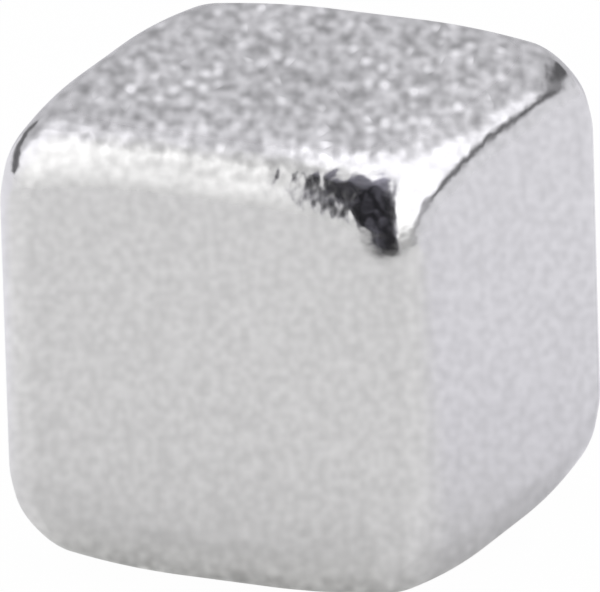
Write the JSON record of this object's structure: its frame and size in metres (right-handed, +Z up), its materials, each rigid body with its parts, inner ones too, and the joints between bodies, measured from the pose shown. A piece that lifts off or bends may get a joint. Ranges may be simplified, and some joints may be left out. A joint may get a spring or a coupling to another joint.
{
  "type": "block magnet",
  "caption": "Small cube magnet with tumbled round edges and a satin nickel finish, magnetised through its height to hold on to steel.",
  "frame": {"origin": "centre of the lower pole face, at the middle of the block's footprint", "axes": "+Z up through the upper pole face, +X and +Y square to the side faces"},
  "size_m": [0.005, 0.005, 0.005],
  "materials": {
    "nickel_plate": "satin nickel plate, fine grain from tumbling"
  },
  "bodies": {
    "root": {"magnet_block": "nickel_plate"}
  },
  "joints": []
}
